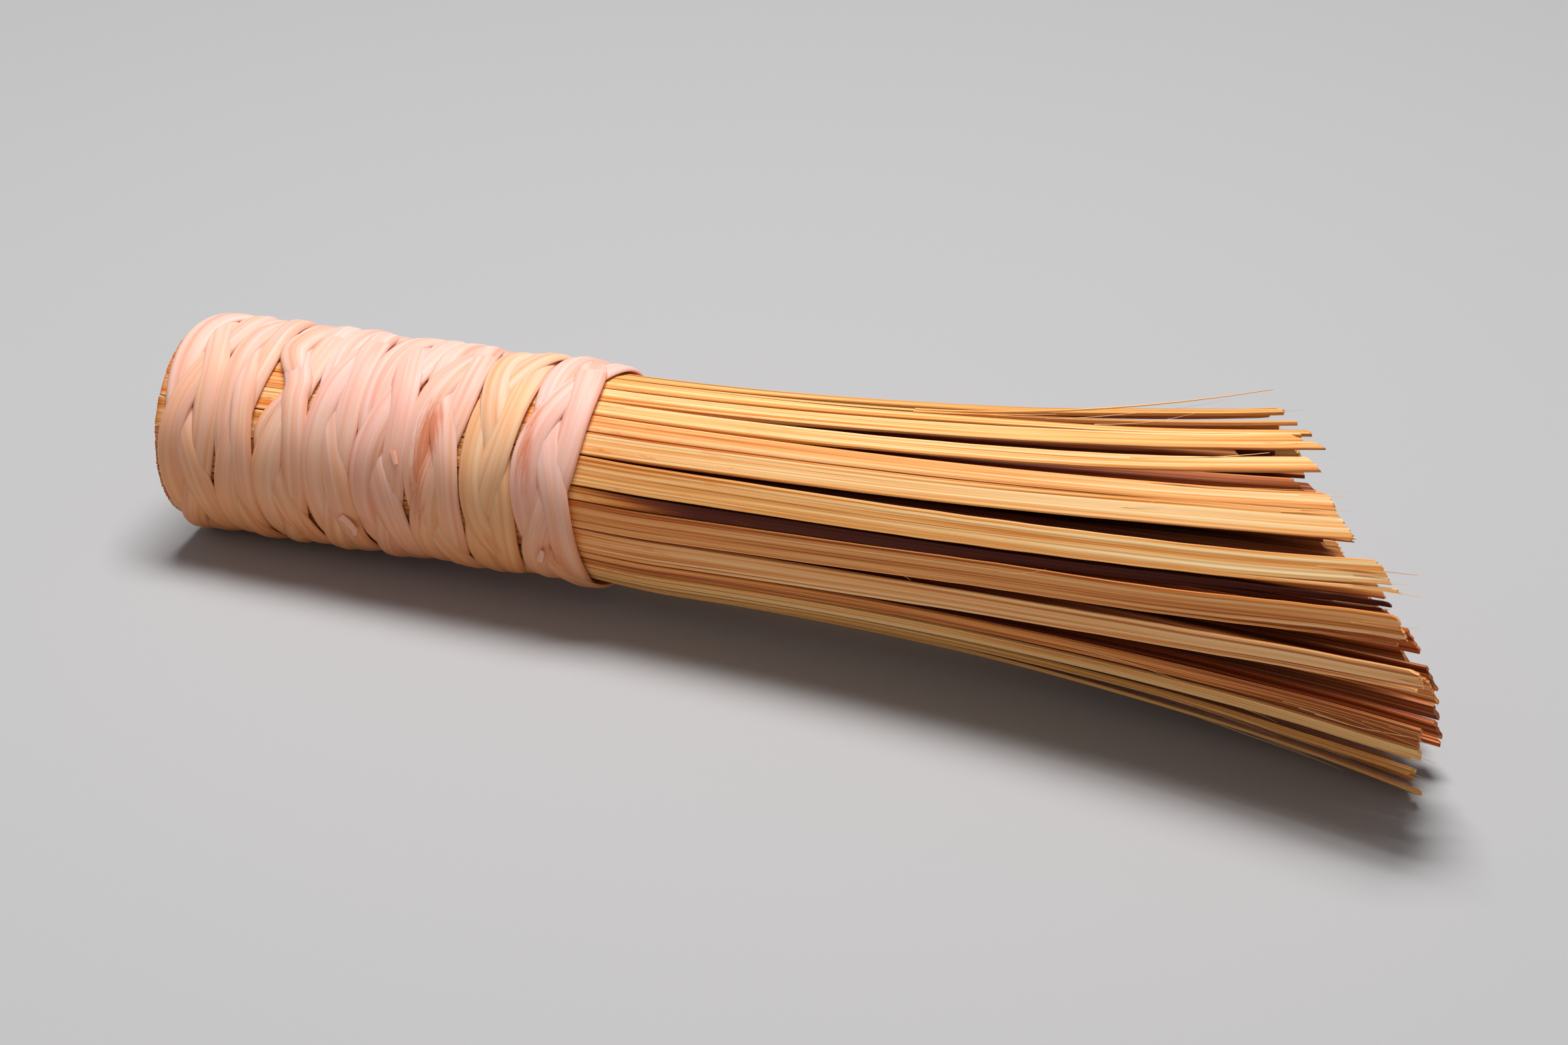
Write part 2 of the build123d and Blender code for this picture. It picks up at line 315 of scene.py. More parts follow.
def add_lamella(build, spec, rng, curves, low, high, columns, rows, slit=None, shift=0.0, lift=0.0,
                depth=0.5, short=0.0, tone=0.0, tint=0.0, relief=OUTER_RELIEF, thin=OUTER_THINNED,
                cut=0.0, shade=0.0):
    """One strip of a splint between two shares of its width, closed all round.

    It parts from the rest after the slit, by the shift sideways and the lift outwards. Its end is ragged by
    the depth, stops short by the given mm, and is rounded at its first corner by the cut. Tone and tint are
    its look, and the shade is painted shade that darkens it outside the binding.
    """
    u = np.linspace(low, high, columns) * 2 - 1
    line = spec["s_left"] + (spec["s_right"] - spec["s_left"]) * (u + 1) / 2
    round_corner = cut * np.clip(1 - (u - u[0]) / 0.35, 0, 1) ** 1.5
    end = line - short - round_corner - ragged_end(rng, columns, depth)
    reach = end.min() - END_RUN
    body = np.linspace(0, 1, rows - END_ROWS) ** 0.9
    s = np.empty((rows, columns))
    s[:rows - END_ROWS] = (reach * body)[:, None]
    for k in range(END_ROWS):
        s[rows - END_ROWS + k] = reach + (end - reach) * ((k + 1) / END_ROWS)
    s[0] += rng.uniform(-0.12, 0.12) + 0.03 * rng.standard_normal(columns)
    lat0, out0, half = centre_line(spec, s)
    own_bend = smooth_noise(rng, 40, 150, 3)
    far = np.clip((s - spec["hinge"]) / (FLARE_S - spec["hinge"]), 0, 1.1)
    parted = np.zeros_like(s)
    if slit is not None:
        parted = np.clip((s - slit) / max(line.mean() - slit, 1.0), 0, 1.1) ** 1.5
    lat = lat0 + u * (half - 0.04 + 0.07 * curves["edge"](s) * far) + shift * parted
    lat = lat + 0.2 * curves["wander"](s) * far + 0.15 * own_bend(s) * parted
    out = out0 + lift * parted + 0.2 * curves["swell"](s + 40) * far ** 1.5
    across = (u * 0.5 + 0.5) * spec["width"]
    ridge = relief * np.broadcast_to(curves["ridges"](across), s.shape)
    share = np.linspace(-1, 1, columns)
    free_left = 1.0 if low == 0.0 else parted.mean(1, keepdims=True)
    free_right = 1.0 if high == 1.0 else parted.mean(1, keepdims=True)
    round_off = 0.14 * np.where(share < 0, free_left, free_right) * np.abs(share) ** 9
    slim = thin * np.clip(2.5 * far, 0, 1)
    spread = GRIP_SPREAD + (TIP_SPREAD - GRIP_SPREAD) * np.clip((s - SPREAD_S) / SPREAD_RUN, 0, 1)
    top = place(spec, s, lat + spread * u, out + HALF - round_off + ridge - 0.05)
    bottom = place(spec, s, lat, out + HALF - (2 * HALF) * (1 - slim) + round_off - 0.3 * ridge + 0.04)
    grain = np.stack([np.broadcast_to(across, s.shape), s, np.full_like(s, curves["grain"])], -1)
    # Painted shade for a splint sunk between its neighbours, coming on outside the binding.
    darker = shade * np.clip((s - SHADE_S) / SHADE_RUN, 0, 1)
    look = np.stack([tone - darker + 0.1 * ridge / relief, np.full(s.shape, tint), np.zeros(s.shape)], -1)
    build.add(np.concatenate([top.reshape(-1, 3), bottom.reshape(-1, 3)]), slab_faces(rows, columns),
              np.concatenate([grain.reshape(-1, 3), grain.reshape(-1, 3) + (0, 0, TURN_GRAIN)]),
              np.concatenate([look.reshape(-1, 3), look.reshape(-1, 3) - (TURN_TONE, 0, 0)]))


def add_fibre(build, spec, rng, s0, length, lat_share, rise, side, width, tone=0.4, curl=0.0):
    """A thin fibre, with a pointed end, that leaves a splint's face."""
    steps, sides = 10, 4
    t = np.linspace(0, 1, steps)
    s = s0 + length * t
    lat0, out0, half = centre_line(spec, s)
    lat = lat0 + (lat_share * 2 - 1) * half + side * t ** 2
    out = out0 + HALF - 0.1 + rise * t ** 1.7 + curl * np.sin(t * 5.0) * t
    thick = width * (1 - 0.75 * t)
    ring = []
    for k in range(sides):
        a = (k + 0.5) * 2 * math.pi / sides
        ring.append(place(spec, s, lat + thick * math.cos(a) * 0.7, out + thick * math.sin(a) * 0.5))
    points = np.stack(ring, 1)
    faces = []
    for i in range(steps - 1):
        for k in range(sides):
            a, b = i * sides + k, i * sides + (k + 1) % sides
            faces.append((b, a, a + sides, b + sides))
    faces.append((0, 1, 2, 3))
    count = steps * sides
    faces.append((count - 1, count - 2, count - 3, count - 4))
    grain = np.stack([np.zeros(count), np.repeat(s, sides), np.full(count, rng.uniform(0, 100))], -1)
    build.add(points.reshape(-1, 3), faces, grain, (tone, 0.0, 0.0))


# Slits of the splints on the near side, in mm: (share of the width, where it opens, how far the parts stand
# apart at the tips, lift of the part after it, how much shorter that part is). The others get one at random.
SLITS = {
    1: ((0.22, 100, 1.3, -0.9, -2.0), (0.78, 140, 0.9, -0.5, 0.0)),
    2: ((0.5, 212, 0.05, 0.0, -1.4),),
    3: (),
    4: (),
    5: ((0.30, 236, 0.1, 0.1, 0.0),),
    6: ((0.86, 215, 0.5, -0.3, -1.2),),
    8: ((0.9, 200, 0.5, 0.1, 2.0),),
    9: ((0.85, 190, 0.6, -0.4, 1.5),),
    10: ((0.3, 145, 0.5, -0.6, 1.0),),
    11: ((0.75, 190, 0.2, -0.3, 2.0),),
    12: ((0.3, 185, 0.2, 0.3, 1.0), (0.75, 150, 0.6, -0.4, 3.0)),
    13: ((0.5, 190, 0.5, 0.2, 1.0),),
}
# Splints that lie or end a little differently from the sawn solids, in mm: (extra travel, extra width, how
# much shorter on the side of the smaller clock angle, sideways bow)
TRIMS = {
    2: (-0.1, 0.7, 3.0, 0.0),
    3: (0.0, 0.1, 0.0, 1.2),
    4: (0.35, 0.7, 0.0, 0.9),
    5: (0.0, 0.2, 0.0, 0.6),
    6: (0.5, 0.5, 0.0, 1.4),
    7: (0.3, 0.0, 0.0, 1.0),
    8: (0.2, 0.3, 0.0, 0.6),
    9: (0.0, 0.3, 0.0, 0.6),
    11: (-0.3, 1.0, 0.0, 0.2),
}
# This narrow splint lies deeper than its neighbours, by so many mm near its tip, and is darker by painted shade.
SUNK, SUNK_DEPTH, SUNK_SHADE = 7, 2.8, 2.2
# Look of the splints that are seen first: (tone, tint). Tint -1 is olive, 0 cream and 1 pinkish orange.
LOOKS = {
    1: (0.15, 0.0), 2: (0.3, 0.25), 3: (0.25, 0.1), 4: (0.25, 0.65), 5: (0.35, 0.3),
    6: (0.45, 0.1), 7: (0.1, 0.6), 8: (0.15, 0.75), 9: (0.2, 0.6), 10: (-0.5, 0.7),
    11: (0.35, -0.15), 12: (0.3, -0.4), 13: (0.0, -0.45),
}
# Single fibres that have come loose, in mm: (start, length, share of the splint's width where it starts,
# rise, sideways travel, width, tone, curl)
FIBRES = {
    1: ((150, 69, 0.0, 6.0, -1.5, 0.6, 0.4, 0.0), (176, 34, 0.1, 4.5, -1.5, 0.14, 0.8, 0.5),
        (186, 27, 0.6, 4.2, -1.0, 0.12, 0.8, -0.4), (150, 28, 0.2, 0.9, -0.4, 0.25, 0.7, 0.0)),
    3: ((196, 26, 0.3, 0.5, -1.5, 0.25, 0.5, 0.0),),
    4: ((200, 40, 0.1, 0.8, -0.8, 0.12, 0.9, 0.3),),
    5: ((196, 9, 0.5, 1.3, -2.0, 0.1, 0.9, 0.0),),
    6: ((236, 19, 0.35, 0.5, -0.2, 0.3, 0.6, 0.0), (225, 31, 0.97, 0.2, 0.5, 0.35, 0.7, 0.0)),
    8: ((175, 10, 0.3, 1.4, -2.5, 0.1, 0.9, 0.0), (150, 8, 0.7, 1.2, 1.5, 0.09, 0.9, 0.0)),
    10: ((190, 22, 0.5, 0.8, 2.0, 0.14, 0.8, 0.0), (233, 24, 0.8, 1.2, -1.2, 0.13, 1.0, 1.0),
         (230, 27, 0.6, 1.0, -0.6, 0.12, 1.0, -0.8), (236, 20, 0.95, 0.6, -1.8, 0.12, 1.0, 0.6)),
    11: ((185, 20, 0.3, 1.6, -3.5, 0.13, 0.9, 0.0), (214, 14, 0.5, 1.0, 1.8, 0.12, 0.9, 0.3)),
    12: ((205, 36, 0.2, 0.9, 0.6, 0.2, 0.8, 0.2), (214, 26, 0.5, 1.2, 1.0, 0.14, 0.9, 0.4),
         (196, 30, 0.7, 0.7, 1.6, 0.13, 0.9, 0.0)),
    13: ((200, 36, 0.2, 1.2, 0.9, 0.16, 0.8, 0.3), (207, 30, 0.35, 0.9, 0.4, 0.14, 0.9, 0.0),
         (215, 37, 0.3, -0.4, 0.8, 0.3, 0.8, 0.5), (212, 40, 0.45, -1.0, 1.5, 0.25, 0.8, -0.5)),
}


def build_outer(number, spec, material):
    """An outer splint from the butt to the tip: strips that part at its slits, and loose fibres."""
    rng = np.random.default_rng(500 + number)
    build = Builder()
    curves = splint_curves(rng)
    if number in TRIMS:
        travel, widen, shorter, bow = TRIMS[number]
        spec = dict(spec, travel=spec["travel"] + travel, widen=spec["widen"] + widen,
                    s_left=spec["s_left"] - shorter, bow=bow)
    if number == SUNK:
        spec["flare"] -= SUNK_DEPTH
    if number in SLITS:
        cuts = SLITS[number]
    else:
        cuts = ((rng.uniform(0.35, 0.65), rng.uniform(180, 215), rng.uniform(0.2, 0.5),
                 rng.uniform(-0.3, 0.3), rng.uniform(-1, 2)),)
    edges = [0.0] + [c[0] for c in cuts] + [1.0]
    opening = sum(c[2] for c in cuts)
    shift, lift, short, slit = -opening / 2, 0.0, 0.0, cuts[0][1] if cuts else None
    tone, tint = LOOKS.get(number, (rng.uniform(-0.3, 0.4), rng.uniform(-0.6, 0.6)))
    for k in range(len(edges) - 1):
        if k:
            shift += cuts[k - 1][2]
            lift, short, slit = cuts[k - 1][3], cuts[k - 1][4], cuts[k - 1][1]
        share = edges[k + 1] - edges[k]
        columns = max(7, int(round(share * spec["width"] / COLUMN)))
        add_lamella(build, spec, rng, curves, edges[k], edges[k + 1], columns, OUTER_ROWS, slit, shift, lift,
                    depth=rng.uniform(0.3, 0.65), short=short, tone=tone + rng.uniform(-0.1, 0.1),
                    tint=tint, cut=rng.uniform(0, 1.5) if k == 0 else 0.0,
                    shade=SUNK_SHADE if number == SUNK else 0.0)
    for _ in range(int(rng.integers(1, 4))):
        share = rng.uniform(0.05, 0.95)
        end = spec["s_left"] + (spec["s_right"] - spec["s_left"]) * share
        add_fibre(build, spec, rng, end - rng.uniform(5, 12), rng.uniform(5, 12), share,
                  rng.uniform(0.0, 0.4), rng.uniform(-0.4, 0.4), width=rng.uniform(0.1, 0.2))
    for fibre in FIBRES.get(number, ()):
        add_fibre(build, spec, rng, *fibre)
    return build.make(f"bamboo_splint_outer_{number:02d}", material)


def build_inner(name, specs, material, seed, columns, rows):
    """Splints of an inner layer, each one plain strip."""
    rng = np.random.default_rng(seed)
    build = Builder()
    for spec in specs:
        spec = dict(spec)
        spec["travel"] = spec["travel"] + rng.uniform(-0.5, 0.5)
        curves = splint_curves(rng)
        add_lamella(build, spec, rng, curves, 0.0, 1.0, columns, rows, tone=rng.uniform(-0.6, 0.4),
                    tint=rng.uniform(-0.5, 0.9), relief=INNER_RELIEF, thin=INNER_THINNED)
    return build.make(name, material)


# ---------------------------------------------------------------- binding
# Each lashing is one strip that goes round the grip three times, swinging from edge to edge and crossing
# itself. For each: (clock angle of a bulge towards the tips, bulges, which strand is on top, width of the
# strip in mm, warmth). Warmth 0 is pink and pale, 1 is straw yellow.
PLAITS = (
    (60, 5, -1, 5.6, 0.45),
    (95, 4, -1, 5.0, 0.45),
    (3, 5, -1, 5.7, 0.42),
    (40, 4, -1, 5.6, 0.25),
    (60, 5, -1, 5.7, 0.10),
    (25, 5, -1, 5.7, 0.30),
    (27, 5, 1, 5.7, 1.0),
    (37, 5, -1, 5.8, 0.10),
)
TURNS = 3
BAND_ROWS, BAND_COLUMNS = 600, 17
STRIP_HALF = 0.30             # half a strip's thickness, mm
LOW_RADIUS = 19.45            # where the lowest strands lie, mm
WEAVE = 0.36                  # how far a strand rises and sinks at its crossings, mm
BAND_OVERLAP = 0.55           # how far the strands reach past the lashing's edges, mm
SQUARENESS = 0.04             # how long a strand lingers at the edges before it crosses over
FIRST_EDGE = 0.9              # the first lashing's strands reach this much closer to the butt, mm
CROWN, CROWN_POWER = 0.62, 2.2   # height of a strip's domed face, mm, and how flat its top is
LEAN = 0.10                   # how far a strip leans over to one side, mm
GRAIN_RADIUS = 20.5           # a strip's length is counted at this radius, mm
LOW_SIDE = math.radians(60)   # a quarter turn on from here the strips get the most painted shade, warmer and darker
# Reddish marks on a strip: lashing, then (mm along the brush, clock angle, reach in mm and degrees, depth)
MARKS = {
    3: ((30.0, 130, 3.0, 30, 0.8),),
    6: ((59.0, 52, 2.6, 20, 1.3), (57.0, 85, 2.4, 30, 1.0)),
    7: ((72.0, 110, 3.0, 20, 0.7),),
    8: ((79.0, 55, 2.0, 40, 1.1), (84.0, 115, 2.0, 16, 0.9)),
}
# Cut ends of strips: lashing, then (mm along the brush and clock angle where it starts, the same where it
# ends, width, distance from the axis, how far the end stands off), in mm and degrees
STUBS = {
    4: ((40.2, 106, 43.2, 113, 1.8, 21.5, 1.0), (41.6, 120, 43.4, 111, 0.9, 21.3, 0.7)),
    5: ((51.8, 66, 53.0, 72, 1.2, 21.1, 0.2),),
    8: ((81.0, 118, 82.6, 108, 1.2, 21.4, 0.4),),
}
# Where a strand has slipped and the splints show: lashing, then (clock angle, reach in degrees, slip in mm)
SLIPPED = {3: (39, 19, 5.2)}
SLIP_SOFTNESS = 0.35          # the slipped strand's edge rounds off over about the root of this, mm


def build_band(number, low, high, material):
    """One lashing between two places along the brush: a closed plaited strip and its cut ends."""
    rng = np.random.default_rng(900 + number)
    bulge, bights, hand, width, warmth = PLAITS[number - 1]
    build = Builder()
    phi = np.linspace(0, 2 * math.pi * TURNS, BAND_ROWS + 1)[:-1]
    psi = bights * (phi - math.radians(bulge)) / TURNS
    wobble = smooth_loop(rng, TURNS, 2, 9)
    swing = smooth_loop(rng, TURNS, 2, 7)
    thick = smooth_loop(rng, TURNS, 4, 24)
    heave = smooth_loop(rng, TURNS, 3, 16)
    middle = (low + high) / 2
    amplitude = (high - low) / 2 - width / 2 + BAND_OVERLAP
    across = (np.cos(psi) - SQUARENESS * np.cos(3 * psi)) / (1 - SQUARENESS)
    s = middle + amplitude * (1 + 0.08 * swing(phi)) * across + 0.28 * wobble(phi)
    if number in SLIPPED:
        angle, spread, slip = SLIPPED[number]
        away = (np.degrees(phi) - angle + 180) % 360 - 180
        edge = middle - amplitude + slip * np.exp(-(away / spread) ** 2)
        s = (s + edge + np.sqrt((s - edge) ** 2 + SLIP_SOFTNESS)) / 2
    radius = LOW_RADIUS + STRIP_HALF + WEAVE + hand * WEAVE * np.sin(2 * psi) + 0.08 * heave(phi)
    half = width / 2 * (1 + 0.07 * thick(phi))
    slope = np.gradient(s, phi) / radius
    u = np.linspace(-1, 1, BAND_COLUMNS)
    lean = LEAN * np.sin(psi + 0.6)
    crown = CROWN * (1 - np.abs(u) ** CROWN_POWER)
    rim = np.abs(u) ** 10
    grooves = smooth_noise(rng, 1.4, 3.2, 4)
    lines = 0.05 * grooves(u * width / 2)
    square = 1 / np.sqrt(1 + slope ** 2)
    along = s[:, None] + (half * square)[:, None] * u
    turn = phi[:, None] - (half * slope * square / radius)[:, None] * u
    height = radius[:, None] + crown + lines + lean[:, None] * u
    outer_r = height + STRIP_HALF - 0.24 * rim
    inner_r = radius[:, None] - STRIP_HALF + 0.3 * crown + lean[:, None] * u + 0.14 * rim
    shell = [sagging(along, r * np.cos(turn), r * np.sin(turn)).reshape(-1, 3) for r in (outer_r, inner_r)]
    top = np.arange(BAND_ROWS * BAND_COLUMNS).reshape(BAND_ROWS, BAND_COLUMNS)
    bottom = top + BAND_ROWS * BAND_COLUMNS
    top_on = np.roll(top, -1, 0)
    bottom_on = np.roll(bottom, -1, 0)
    faces = np.concatenate([
        np.stack([top[:, 1:], top[:, :-1], top_on[:, :-1], top_on[:, 1:]], -1).reshape(-1, 4),
        np.stack([bottom[:, :-1], bottom[:, 1:], bottom_on[:, 1:], bottom_on[:, :-1]], -1).reshape(-1, 4),
        np.stack([top[:, 0], bottom[:, 0], bottom_on[:, 0], top_on[:, 0]], -1),
        np.stack([bottom[:, -1], top[:, -1], top_on[:, -1], bottom_on[:, -1]], -1)])
    length = phi * GRAIN_RADIUS
    grain = np.stack([np.broadcast_to(u * width / 2, along.shape),
                      np.broadcast_to(length[:, None], along.shape), np.full_like(along, 3.7 * number)], -1)
    mark = np.zeros_like(along)
    for at_s, at_clock, reach_s, reach_clock, depth in MARKS.get(number, ()):
        away = (np.degrees(turn) - at_clock + 180) % 360 - 180
        mark = mark + depth * np.exp(-((along - at_s) / reach_s) ** 2 - (away / reach_clock) ** 2)
    # Painted shade: the low side of the lashing is made warmer here, and darker in the material.
    under = np.sin(turn - LOW_SIDE)
    look = np.stack([warmth + 0.4 * under, mark, np.clip(under, 0, 1)], -1).reshape(-1, 3)
    build.add(np.concatenate(shell), faces, np.concatenate([grain.reshape(-1, 3)] * 2),
              np.concatenate([look, look]))
    for stub in STUBS.get(number, ()):
        add_stub(build, *stub, warmth)
    return build.make(f"rattan_lashing_{number}", material, sharp=60)


def add_stub(build, s0, clock0, s1, clock1, width, radius, lift, warmth):
    """The cut end of a strip, coming out from under the others and standing off a little."""
    rows, columns = 9, 5
    t = np.linspace(0, 1, rows)[:, None]
    u = np.linspace(-1, 1, columns)[None, :]
    r = radius + lift * t ** 2 + 0.12 * (1 - u ** 2)
    run = math.radians(clock1 - clock0) * radius
    rise = s1 - s0
    length = math.hypot(run, rise)
    half = width / 2 * (1 - 0.35 * t ** 3)
    s = s0 + rise * t + half * u * run / length
    clock = math.radians(clock0) + (run * t - half * u * rise / length) / radius
    faces = slab_faces(rows, columns)
    shell = [sagging(s, x * np.cos(clock), x * np.sin(clock)).reshape(-1, 3)
             for x in (r + 0.2, r - 0.2 + 0.15 * t)]
    grain = np.stack([half * u, np.broadcast_to(40 + length * t, s.shape), np.full(s.shape, 9.0)], -1)
    # The cut end gets half the painted shade of the low side.
    build.add(np.concatenate(shell), faces, np.concatenate([grain.reshape(-1, 3)] * 2), (warmth, 0.0, 0.5))


# ---------------------------------------------------------------- peg
def build_peg(material):
    """The tapered peg in the middle of the bundle, whittled to faint facets, its ends a little rounded."""
    rng = np.random.default_rng(77)
    points = np.concatenate(islands("core_wedge"))
    reach = np.hypot(points[:, 1], points[:, 2])
    head = reach[points[:, 0] < 1].max()
    length = points[:, 0].max()
    tip = reach[points[:, 0] > length - 1].max()
    sides, rings = 32, 40
    facets = smooth_loop(rng, 1, 3, 9)
    s = np.concatenate([np.full(5, 0.0), np.linspace(0.25, length - 0.3, rings), np.full(4, length)])
    shrink = np.concatenate([np.linspace(0.15, 0.97, 5), np.ones(rings), np.linspace(0.95, 0.2, 4)])
    angle = np.linspace(0, 2 * math.pi, sides + 1)[:-1]
    cut = 1 - 0.045 * np.clip(facets(angle), 0, None)
    radius = ((head + (tip - head) * s / length) * shrink)[:, None] * cut
    along = s[:, None] + 0.05 * np.cos(3 * angle) * (s[:, None] < 0.2)
    ring = np.arange(len(s) * sides).reshape(len(s), sides)
    beside = np.roll(ring, -1, 1)
    quads = np.stack([ring[:-1], ring[1:], beside[1:], beside[:-1]], -1).reshape(-1, 4)
    grain = np.stack([np.broadcast_to(angle * head, radius.shape), along, np.full_like(radius, 5.0)], -1)
    build = Builder()
    build.add(to_row(along, radius * np.cos(angle), radius * np.sin(angle)), quads, grain, (0.0, 0.0, 0.0))
    build.faces += [ring[:1], ring[-1:, ::-1]]
    return build.make("bamboo_peg", material)


# ---------------------------------------------------------------- materials
def srgb(r, g, b):
    """A colour given as 0 to 255 in sRGB, as the linear values that the nodes take."""
    def linear(c):
        c /= 255
        return c / 12.92 if c <= 0.04045 else ((c + 0.055) / 1.055) ** 2.4
    return (linear(r), linear(g), linear(b), 1.0)


class Nodes:
    """A material, and short ways to add nodes to it."""

    def __init__(self, name):
        self.material = bpy.data.materials.new(name)
        self.material.use_nodes = True
        self.tree = self.material.node_tree
        self.shader = self.tree.nodes["Principled BSDF"]

    def new(self, kind, inputs=None, **settings):
        node = self.tree.nodes.new(kind)
        for key, value in settings.items():
            setattr(node, key, value)
        for key, value in (inputs or {}).items():
            if isinstance(value, bpy.types.NodeSocket):
                self.tree.links.new(value, node.inputs[key])
            else:
                node.inputs[key].default_value = value
        return node

    def math(self, op, a, b=0.0, clamp=False):
        node = self.new("ShaderNodeMath", {0: a, 1: b}, operation=op)
        node.use_clamp = clamp
        return node.outputs[0]

    def above(self, value, edge, slope):
        """0 up to the edge, then rising by the slope, to 1 at most."""
        return self.math("MULTIPLY", self.math("SUBTRACT", value, edge), slope, clamp=True)

    def below(self, value, edge, slope):
        """0 from the edge on, and before it rising by the slope, to 1 at most."""
        return self.math("MULTIPLY", self.math("SUBTRACT", edge, value), slope, clamp=True)

    def ramp(self, value, stops):
        node = self.new("ShaderNodeValToRGB", {0: value})
        ramp = node.color_ramp
        while len(ramp.elements) < len(stops):
            ramp.elements.new(0.5)
        for element, (position, colour) in zip(ramp.elements, stops):
            element.position = position
            element.color = colour
        return node.outputs[0]

    def mix(self, factor, a, b, blend="MIX"):
        node = self.new("ShaderNodeMix", {0: factor, 6: a, 7: b}, data_type="RGBA", blend_type=blend)
        return node.outputs[2]

    def scaled(self, vector, x, y, z=1.0):
        return self.new("ShaderNodeVectorMath", {0: vector, 1: (x, y, z)}, operation="MULTIPLY").outputs[0]

    def noise(self, vector, detail=3.0, rough=0.6):
        inputs = {"Vector": vector, "Scale": 1.0, "Detail": detail, "Roughness": rough}
        return self.new("ShaderNodeTexNoise", inputs).outputs[0]

    def attribute(self, name):
        return self.new("ShaderNodeAttribute", attribute_name=name).outputs["Vector"]

    def surface(self, name, value):
        """Sets an input of the shader, to a value or from another node."""
        if isinstance(value, bpy.types.NodeSocket):
            self.tree.links.new(value, self.shader.inputs[name])
        else:
            self.shader.inputs[name].default_value = value


def bamboo(name, dark, body, light, pale, rough=0.42, seed=0.0, deep_shade=0.0):
    """Split bamboo: bundles of fibre along the strip, lighter and darker, with spots of orange sap.

    The grain attribute is mm across and along the strip, and the strip's own number. The look is its tone and
    its tint. The strip is made darker where it lies deep in the bundle, short of its tips: painted shade, as
    strong as inside.
    """
    n = Nodes(name)
    grain = n.attribute("grain")
    tone, tint, _ = n.new("ShaderNodeSeparateXYZ", {0: n.attribute("look")}).outputs
    moved = n.new("ShaderNodeVectorMath", {0: grain, 1: (seed, 0, seed)}, operation="ADD").outputs[0]
    fine = n.noise(n.scaled(moved, 4.2, 0.012), 2.0, 0.6)
    broad = n.noise(n.scaled(moved, 1.35, 0.006), 3.0, 0.62)
    hair = n.noise(n.scaled(moved, 9.0, 0.04), 1.0, 0.5)
    blotch = n.noise(n.scaled(moved, 0.25, 0.03), 3.0, 0.6)
    value = n.math("ADD", n.math("MULTIPLY", fine, 0.32), n.math("MULTIPLY", broad, 0.76))
    value = n.math("ADD", value, n.math("MULTIPLY", hair, 0.10))
    value = n.math("ADD", value, n.math("MULTIPLY", tone, 0.11))
    value = n.math("ADD", n.math("MULTIPLY", n.math("SUBTRACT", value, 0.59), 3.4), 0.5, clamp=True)
    colour = n.ramp(value, [(0.0, dark), (0.32, body), (0.62, light), (1.0, pale)])
    along = n.new("ShaderNodeSeparateXYZ", {0: grain}).outputs[1]
    near_mouth = n.below(along, 135.0, 0.02)
    warm = n.above(blotch, 0.42, 2.2)
    warmth = n.math("ADD", n.math("MULTIPLY", near_mouth, n.math("MULTIPLY", warm, 0.85)),
                    n.math("MULTIPLY", tint, 0.42), clamp=True)
    colour = n.mix(n.math("MULTIPLY", warmth, 0.85), colour, ORANGE, "MULTIPLY")
    green = n.math("MULTIPLY", tint, -0.7, clamp=True)
    colour = n.mix(green, colour, OLIVE, "MULTIPLY")
    spots = n.above(n.noise(n.scaled(moved, 0.9, 0.16), 4.0, 0.75), 0.57, 7.0)
    spots = n.math("MULTIPLY", spots, n.math("ADD", n.math("MULTIPLY", near_mouth, 0.75), 0.06))
    colour = n.mix(spots, colour, SAP)
    # Painted shade: darker along the strip where it lies deep in the bundle, fading out at the sawn end and tips.
    deep = n.math("MULTIPLY", n.below(along, 238.0, 0.018), n.above(along, 1.5, 0.4))
    colour = n.mix(n.math("MULTIPLY", deep, deep_shade), colour, srgb(140, 84, 50), "MULTIPLY")
    # Painted shade: a tone far below the rest, as a sunk splint's painted shade gives, multiplies in dark brown.
    deeper = n.math("SUBTRACT", n.math("MULTIPLY", tone, -0.7), 0.55, clamp=True)
    colour = n.mix(deeper, colour, srgb(132, 66, 36), "MULTIPLY")
    sawn = n.below(along, 1.6, 0.6)
    colour = n.mix(n.math("MULTIPLY", sawn, 0.75), colour, srgb(190, 128, 78), "MULTIPLY")
    colour = n.mix(n.math("MULTIPLY", sawn, 0.65 * deep_shade), colour, srgb(204, 150, 92))
    bump = n.new("ShaderNodeBump", {"Height": broad, "Strength": 0.3, "Distance": 0.00025})
    n.surface("Base Color", colour)
    n.surface("Roughness", n.math("ADD", n.math("MULTIPLY", hair, 0.22), rough - 0.08))
    n.surface("Normal", bump.outputs[0])
    n.surface("Specular IOR Level", 0.3)
    return n.material


